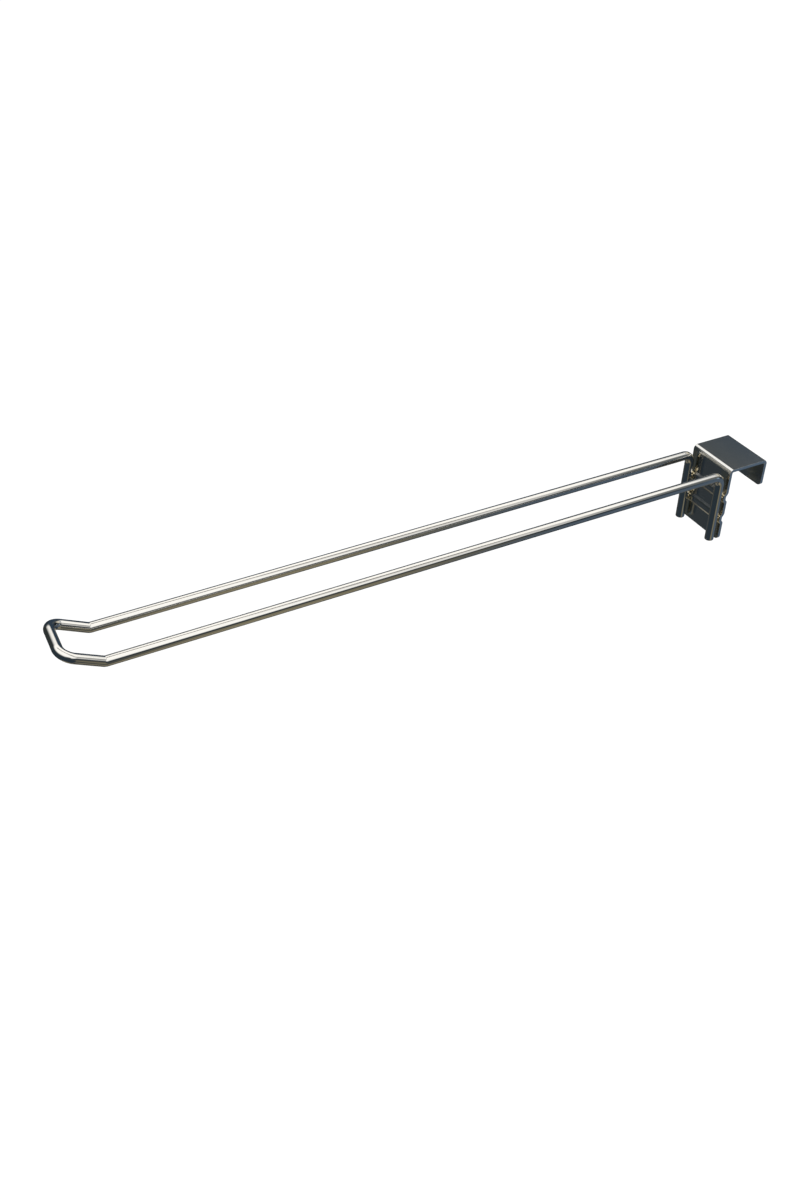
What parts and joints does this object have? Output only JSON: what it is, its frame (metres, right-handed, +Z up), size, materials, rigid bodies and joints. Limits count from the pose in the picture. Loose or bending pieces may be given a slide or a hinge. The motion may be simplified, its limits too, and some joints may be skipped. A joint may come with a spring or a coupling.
{
  "type": "saddle-mount display hook",
  "caption": "Twin-arm wire display hook with a closed upturned tip, welded to a folded sheet bracket that saddles over a rectangular crossbar.",
  "frame": {"origin": "centre of the underside of the bracket's web, the face that rests on the crossbar", "axes": "+Z up, +Y from the arms' tip towards the crossbar and the rear lip, +X to the right; the two arms point to -Y"},
  "size_m": [0.037, 0.4603, 0.0631],
  "materials": {
    "polished_wire": "bright nickel-chrome plating over drawn steel wire, with faint lengthwise draw lines",
    "plated_sheet": "bright nickel-chrome plating over cold-rolled steel sheet, with a fine grain",
    "plated_weld": "bright plating over an uneven projection weld"
  },
  "bodies": {
    "root": {"prong_wire": "polished_wire", "saddle_bracket": "plated_sheet", "weld_upper_left": "plated_weld", "weld_upper_right": "plated_weld", "weld_lower_left": "plated_weld", "weld_lower_right": "plated_weld"}
  },
  "joints": []
}
